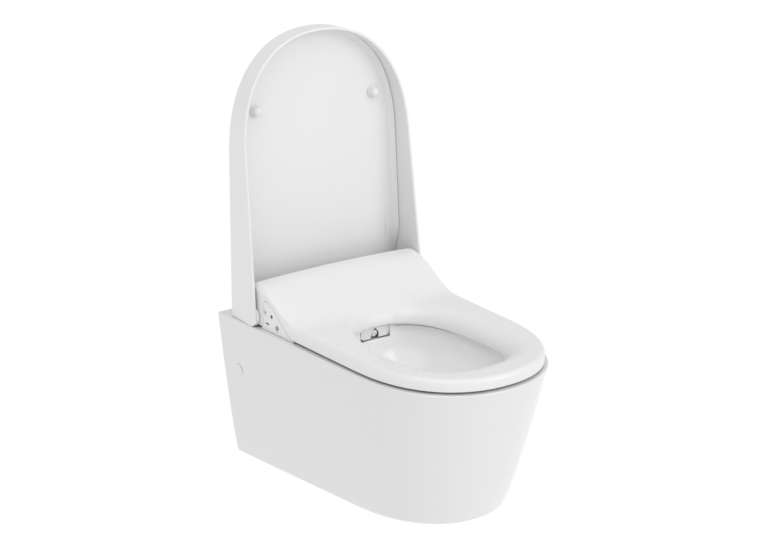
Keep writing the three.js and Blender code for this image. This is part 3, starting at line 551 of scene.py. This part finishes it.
def seat_section(point, inward, foot, edge):
    """One slice through the seat's skin, from the hole's lip over the top and back underneath."""
    wall, lip, roll, bend = SEAT["wall"], SEAT["lip"], SEAT["roll"], SEAT["foot_edge"]
    rim = point + inward * 12
    angle = math.atan2(rim[1] - HOLE["y"], rim[0])
    radius = oval_radius(angle, HOLE)
    reach = math.hypot(rim[0], rim[1] - HOLE["y"]) - radius
    heading = np.array((math.cos(angle), math.sin(angle)))

    def from_lip(d):
        return np.array((0, HOLE["y"])) + heading * (radius + d)

    def lip_height(d):
        top = seat_top(*from_lip(d))
        inwards = max(1 - d / roll, 0)
        return top - (top - lip) * (1 - math.sqrt(1 - inwards ** 2))

    def within(e):
        return point + inward * e

    def edge_height(e):
        return seat_top(*within(e)) - edge + math.sqrt(edge ** 2 - (edge - e) ** 2)

    turns = np.linspace(0, math.pi / 2, 15)
    outward = [roll * (1 - math.cos(a)) for a in turns]
    outward += list(roll + (reach - roll) * np.linspace(0.1, 0.93, 11))
    around = [edge * (1 - math.sin(a)) for a in np.linspace(0, math.pi / 2, 8)]
    lip_round = [
        (wall * (1 - math.cos(a)) / 2, lip + wall * (1 - math.sin(a)) / 2) for a in np.linspace(0, math.pi, 7)
    ]
    section = [(*from_lip(d), max(lip_height(d), lip + wall / 2)) for d in outward[1:]]
    section += [(*within(e), edge_height(e)) for e in around]
    section += [(*within(0), foot + bend), (*within(bend), foot), (*within(wall), foot)]
    shoulder = seat_top(*within(edge))
    section += [(*within(wall), max(shoulder - edge * 0.8, foot + 0.6)), (*within(edge + 1), shoulder - wall)]
    section += [(*from_lip(d + 2), lip_height(d) - wall) for d in outward[-2::-2] if d > 8]
    section += [(*from_lip(d), z) for d, z in reversed(lip_round)]
    return section


def panel_outline(grow):
    """A low leaf with a round top, its back edge an arc about the hinge line."""
    radius, low = PANEL["arc"] - grow, PANEL["foot"] - grow
    first = 180 + math.degrees(math.asin((HINGE["z"] - low) / radius))
    start = Vector(arc(PANEL["top_y"], PANEL["top_z"], PANEL["top_r"] + grow, 110, 110, 1)[0])
    first_pull, last_pull = (Vector((y - grow, z + grow)) for y, z in PANEL["pulls"])
    tip = Vector((PANEL["tip"] - grow, PANEL["tip_z"] + grow))
    curve = []
    for t in np.linspace(0, 1, 26)[1:]:
        leaving = start * (1 - t) ** 3 + first_pull * 3 * t * (1 - t) ** 2
        curve.append(tuple(leaving + last_pull * 3 * t * t * (1 - t) + tip * t ** 3))
    return [
        (PANEL["tip"] - grow, low),
        *arc(HINGE["y"], HINGE["z"], radius, first, 150, 20),
        *arc(PANEL["top_y"], PANEL["top_z"], PANEL["top_r"] + grow, 0, 110, 16),
        *curve,
    ]


SIDE_AT_WALL = TOP_D["half"] - SEAT["inset"]


def on_side(obj, side):
    """Moves a piece drawn at the wall plane onto the seat's tapered side."""
    lift = Matrix.Translation((0, 0, RIM * MM))
    place = Matrix.Translation((side * SIDE_AT_WALL * MM, 0, 0))
    turn = Matrix.Rotation(-side * TOP_D["taper"], 4, "Z")
    obj.data.transform(lift @ place @ turn @ lift.inverted())
    return obj


def seat_shell():
    shell = loft("seat", np.array([seat_section(*s) for s in seat_stations()]), closed_path=True)
    inside = SIDE_AT_WALL - SEAT["wall"] + TOP_D["taper"] * HUMP["back"]
    recesses = [on_side(prism("tool", panel_outline(0.8), -8, 8), side) for _, side in SIDES]
    depth = OPEN_BACK["front"], HUMP["back"] + OPEN_BACK["behind"]
    cut(shell, box((-inside, inside), depth, (OPEN_BACK["low"], HUMP["back_foot"] - 0.2)), *recesses)
    y, z, lug = HINGE["y"], HINGE["z"], SEAT_LUG
    lugs = [rod((s * lug["inner"], y, z), (s * lug["outer"], y, z), lug["radius"], 72) for _, s in SIDES]
    bores = [rod((s * 140, y, z), (s * 190, y, z), HINGE["bore"]) for _, s in SIDES]
    return cut(join(shell, *lugs), *bores)


dress(seat_shell(), LOOKS["white_plastic"], "seat", "white_plastic", "seat_shell", angle=34)


# ---------- Lid ----------
SLOPE = (LID["front"] - LID["rear"]) / (TOP_D["length"] + HINGE["y"])


def lid_top(s):
    return LID["rear"] + SLOPE * (s + HINGE["y"])


def opened(obj):
    """Turns a lid piece, drawn closed, to its open rest place."""
    hinge = Vector((0, HINGE["y"], HINGE["z"] + RIM)) * MM
    turn = Matrix.Rotation(-math.radians(LID["open"]), 4, "X")
    obj.data.transform(Matrix.Translation(hinge) @ turn @ Matrix.Translation(-hinge))
    return obj


def lid_half(shape, inset, start):
    return d_half(shape, LID["inset"] + inset, start, sides=40, fronts=72)


def lid_ring(rise, inset, height):
    """A ring of the lid: rise goes from 0 at the open edge to 1 at the crown."""
    low, high = (lid_half(shape, inset, LID["start"]) for shape in (LID_EDGE_D, LID_CROWN_D))
    return d_ring(low + (high - low) * rise, height)


def lid_shell():
    skirt, radius, edge = LID["skirt"], LID["round"], LID["skirt"] / 2
    low = LID["edge"] + edge

    def wall_ring(share, inset, top):
        return lid_ring(share, inset, lambda s: low + share * (lid_top(s) - top - low))

    rings = [wall_ring(share, skirt, LID["wall"]) for share in (1, 0.8, 0.6, 0.4, 0.2)]
    for a in np.linspace(0, math.pi, 11):
        rings.append(lid_ring(0, edge * (1 + math.cos(a)), LID["edge"] + edge * (1 - math.sin(a))))
    rings += [wall_ring(share, 0, radius) for share in (0.2, 0.4, 0.6, 0.8)]
    for a in np.linspace(0, math.pi / 2, 9):
        rings.append(
            lid_ring(1, radius * (1 - math.cos(a)), lambda s, a=a: lid_top(s) - radius * (1 - math.sin(a))),
        )
    y, z, lug = HINGE["y"], HINGE["z"], LID_LUG
    tail = [(y + behind, z + above) for behind, above in LID_TAIL]
    shell = cut(loft("lid", rings), prism("tool", tail, -200, 200))
    lugs = [
        round_rod((s * lug["inner"], y, z), (s * lug["outer"], y, z), lug["radius"], lug["edge"])
        for _, s in SIDES
    ]
    bores = [rod((s * 170, y, z), (s * lug["bore_end"], y, z), HINGE["bore"]) for _, s in SIDES]
    return opened(cut(join(shell, *lugs), *bores))


def liner_face(s):
    fall = smoothstep(s, LINER["fall_from"], LINER["fall_to"])
    return lid_top(s) - LINER["rear"] - (LINER["depth"] - LINER["rear"]) * fall


def liner_drop(s):
    """The band's height, which fades out beside the hump so that the closed lid clears it."""
    return LINER["band"] * smoothstep(s, LINER["start"] + 6, LINER["fall_to"])


def lid_liner():
    """A flat panel with a slanted band round it that meets the lid's skirt."""
    skirt, band, thick = LID["skirt"] + LINER["gap"], LINER["band"], LINER["thick"]
    shape = {**TOP_D, "length": LID_CROWN_D["length"] - 1}

    def ring(inset, height):
        return d_ring(lid_half(shape, skirt + inset, LINER["start"]), height)

    def band_height(share):
        return lambda s: liner_face(s) - 0.2 - liner_drop(s) * share

    rings = [ring(band * 3, liner_face), ring(band + 0.4, liner_face)]
    for share in (0, 0.33, 0.66, 0.94):
        rings.append(ring(band * (1 - share), band_height(share)))
    rings.append(ring(0, lambda s: liner_face(s) - 0.3 - liner_drop(s)))
    rings.append(ring(0.01, lambda s: liner_face(s) + thick - 1))
    rings.append(ring(1, lambda s: liner_face(s) + thick))
    return opened(loft("lid_lining", rings))


dress(lid_shell(), LOOKS["white_plastic"], "lid", "white_plastic", "lid_shell", angle=34)
dress(lid_liner(), LOOKS["white_plastic"], "lid", "white_plastic", "lid_liner", angle=30)

for name, side in SIDES:
    lean = math.atan(-SLOPE)
    radius, length = BUMPER["radius"], BUMPER["length"]
    neck, stem, dome = radius - 2.2, length * 0.55, length * 0.45
    profile = [(0.3, radius - 0.6), (0.9, radius), (1.6, radius), (2.2, radius - 1.4), (stem, neck)]
    profile += [(stem + dome * math.sin(a), neck * math.cos(a)) for a in np.linspace(0, math.pi / 2, 9)[1:]]
    start = (side * BUMPER["x"], -BUMPER["s"], liner_face(BUMPER["s"]))
    bumper = lathe("bumper_" + name, profile, start, (0, math.sin(lean), -math.cos(lean)))
    dress(opened(bumper), LOOKS["white_plastic"], "lid", "grey_rubber", "lid_bumper_" + name)


# ---------- Control panel, side panel and buttons ----------
# Each control's middle on the panel, half the length of its straight part, and its radius.
CONTROLS = {
    "power": dict(y=-125, z=32.8, half=0, r=5.5),
    "lens": dict(y=-143.9, z=29.8, half=0, r=3.2),
    "wash": dict(y=-161.2, z=12.4, half=0, r=6),
    "bar": dict(y=-131.8, z=13.8, half=3.8, r=1.2),
}


def capsule(key, grow):
    """A control's outline, grown by a margin."""
    spec = CONTROLS[key]
    y, z, half, r = spec["y"], spec["z"], spec["half"], spec["r"] + grow
    return [*arc(y + half, z, r, -90, 90, 14), *arc(y - half, z, r, 90, 270, 14)]


def key_cap(name, key, outside, inside, crown):
    """A control on the right side, slightly domed, with a rounded edge."""
    rings = []
    for depth, shrink in ((inside, 0), (outside + 0.5, 0), (outside + 0.15, 0.15), (outside, 0.5)):
        rings.append([(depth, y, z) for y, z in capsule(key, -shrink)])
    centre = np.mean(rings[-1], axis=0)
    for pull, rise in ((0.6, 0.6), (0.25, 0.9)):
        rings.append([centre + (np.array(p) - centre) * pull - (crown * rise, 0, 0) for p in rings[3]])
    return on_side(loft(name, rings), -1)


for name, side in SIDES:
    low, high = sorted((0, -side * PANEL["thick"]))
    plate = prism("panel_" + name, panel_outline(0), low, high)
    if name == "right":
        cut(plate, *[prism("tool", capsule(key, 0.35), low - 1, high + 1) for key in CONTROLS])
    bevel(plate, 0.5, 50)
    root, end, z = -side * POST["root"], -side * POST["length"], POST["z"]
    posts = [rod((root, y, z), (end, y, z), POST["radius"]) for y in POST["places"]]
    on_side(join(plate, *posts), side)
    node = "control_panel" if name == "right" else "side_panel_left"
    dress(plate, LOOKS["white_plastic"], "base", "white_plastic", node, angle=30)

power = key_cap("power_key", "power", 1, 6, 0.3)
dress(power, LOOKS["white_plastic"], "power_button", "white_plastic", "power_button")
wash = key_cap("wash_key", "wash", 1, 6, 0.2)
dress(wash, LIGHT_GUARD, "wash_button", "pale_plastic", "wash_button")
lens = key_cap("lens_window", "lens", 0.2, 4, 0.15)
dress(lens, LOOKS["black_lens"], "base", "black_lens", "sensor_lens")
light = key_cap("light_bar", "bar", 0.2, 4, 0.05)
dress(light, LOOKS["grey_plastic"], "base", "grey_plastic", "status_light")


def mark(name, key, radius, shift, look, body, slot):
    """A thin printed disc let into a button's face."""
    spec = CONTROLS[key]
    y, z = spec["y"] + shift[0], spec["z"] + shift[1]
    profile = [(0, radius), (0.36, radius), (0.42, radius - 0.1)]
    disc = lathe(name, profile, (0.98, y, z), (-1, 0, 0), 40)
    dress(on_side(disc, -1), look, body, slot)


mark("power_mark", "power", 1.9, (0.3, 0), MARK, "power_button", "white_plastic")
mark("wash_pad", "wash", 4.3, (0.9, 0.5), SOFT_MARK, "wash_button", "pale_plastic")


# ---------- Fixing caps ----------
for name, side in SIDES:
    radius = CAP["radius"]
    profile = [(-9, radius - 2.2), (0.3, radius - 2), (0.35, radius - 0.9), (0.5, radius - 0.25)]
    profile += [(0.75, radius - 0.6)]
    dome = np.linspace(0.2, math.pi / 2, 8)
    profile += [(0.75 + 0.6 * math.sin(a), (radius - 1.2) * math.cos(a)) for a in dome]
    turn = Matrix.Rotation(-side * CAP["yaw"], 3, "Z") @ Matrix.Rotation(side * CAP["lean"], 3, "Y")
    start = (side * CAP["x"], CAP["y"], FIXING["z"])
    cover = lathe("fixing_cover_" + name, profile, start, turn @ Vector((side, 0, 0)))
    dress(cover, LOOKS["ceramic"], "base", "ceramic", "fixing_cap_" + name)


# ---------- CAD pieces carried over ----------
def node_mesh_copy(node):
    source = frame["nodes"][node]
    copy = bpy.data.objects.new(node + "_detail", source.data.copy())
    copy.data.transform(source.matrix_world)
    bpy.context.collection.objects.link(copy)
    return copy


SLOT_OF = {row["node"]: row["material_slot"] for row in frame["record"]["subparts"]}
BODY_OF = {node: body for body, nodes in frame["record"]["behaviour"]["bodies"].items() for node in nodes}
LIGHT_NODES = ("nozzle_guard", "nozzle_tip", "nozzle_arm")


def finer(node, width):
    """The CAD piece again, with its flat facets joined and its edges rounded."""
    piece = tidy(node_mesh_copy(node), 2e-6)
    bm = bmesh.new()
    bm.from_mesh(piece.data)
    bmesh.ops.dissolve_limit(bm, angle_limit=math.radians(1), verts=bm.verts, edges=bm.edges)
    bm.to_mesh(piece.data)
    bm.free()
    bevel(piece, width, 38, 2)
    look = LIGHT_GUARD if node in LIGHT_NODES else LOOKS[SLOT_OF[node]]
    dress(piece, look, BODY_OF[node], SLOT_OF[node], node, angle=28)


# How far each piece's edges are rounded, in millimetres.
EDGES = {
    "housing_cover": 1.2, "nozzle_guard": 0.5, "seat_base": 0.6, "base_tray": 0.5, "mounting_plate": 0.3,
    "water_heater": 1.5, "power_supply": 1.5, "water_pump": 0.8, "solenoid_valve": 0.8, "nozzle_carrier": 0.4,
    "nozzle_motor": 0.5, "nozzle_tip": 0.4, "nozzle_arm": 0.2, "drive_pinion": 0.12,
    "wall_sleeve_right": 0.4, "wall_sleeve_left": 0.4, "wall_bolt_right": 0.4, "wall_bolt_left": 0.4,
    "waste_seal": 0.8, "flush_seal": 0.8,
    "seat_buffer_rear_right": 0.8, "seat_buffer_rear_left": 0.8, "seat_buffer_front_right": 0.8,
    "seat_buffer_front_left": 0.8,
}
for node, width in EDGES.items():
    finer(node, width)

for node, obj in frame["nodes"].items():
    if obj.hide_render:
        continue
    obj.data.materials.clear()
    obj.data.materials.append(LOOKS[SLOT_OF[node]])


# ---------- Studio ----------
FLOOR = dict(below_rim=1.1, half=30)
WORLD_STRENGTH = 0.7
# Each light: the direction it shines from, its strength and its width in degrees.
SUNS = {
    "key": ((0.45, -0.9, 0.5), 0.75, 45),
    "top": ((-0.35, -0.25, 1), 0.7, 50),
    "fill": ((-0.9, -0.9, 0.4), 0.2, 60),
}
VIEW = dict(azimuth=-37.43, elevation=18.95, roll=0.9, lens=94.21, sensor=36, eye=(-2.0132, -2.8589, 1.3365))


def studio():
    half, z = FLOOR["half"], RIM * MM - FLOOR["below_rim"]
    mesh = bpy.data.meshes.new("floor")
    corners = [(-half, -half, z), (half, -half, z), (half, half, z), (-half, half, z)]
    mesh.from_pydata(corners, [], [(0, 1, 2, 3)])
    floor = bpy.data.objects.new("floor", mesh)
    floor.data.materials.append(material("pale_floor", (grey(0.985), grey(0.995)), (0.8, 0.9), 2))
    bpy.context.collection.objects.link(floor)

    world = bpy.data.worlds.new("studio")
    world.use_nodes = True
    world.node_tree.nodes["Background"].inputs["Color"].default_value = (1, 1, 1, 1)
    world.node_tree.nodes["Background"].inputs["Strength"].default_value = WORLD_STRENGTH
    bpy.context.scene.world = world
    bpy.context.scene.view_settings.view_transform = "Standard"

    for name, (towards, strength, angle) in SUNS.items():
        data = bpy.data.lights.new(name, "SUN")
        data.energy, data.angle = strength, math.radians(angle)
        lamp = bpy.data.objects.new(name, data)
        lamp.rotation_mode = "QUATERNION"
        lamp.rotation_quaternion = Vector(towards).to_track_quat("Z", "Y")
        bpy.context.collection.objects.link(lamp)


def camera():
    azimuth, elevation, roll = (math.radians(VIEW[key]) for key in ("azimuth", "elevation", "roll"))
    level = math.cos(elevation)
    back = Vector((math.sin(azimuth) * level, -math.cos(azimuth) * level, math.sin(elevation)))
    right = Vector((math.cos(azimuth), math.sin(azimuth), 0))
    up = back.cross(right)
    turned = right * math.cos(roll) + up * math.sin(roll), up * math.cos(roll) - right * math.sin(roll)
    data = bpy.data.cameras.new("camera")
    data.lens, data.sensor_width = VIEW["lens"], VIEW["sensor"]
    eye = bpy.data.objects.new("camera", data)
    eye.matrix_world = Matrix.Translation(VIEW["eye"]) @ Matrix((*turned, back)).transposed().to_4x4()
    bpy.context.collection.objects.link(eye)
    bpy.context.scene.camera = eye


studio()
camera()
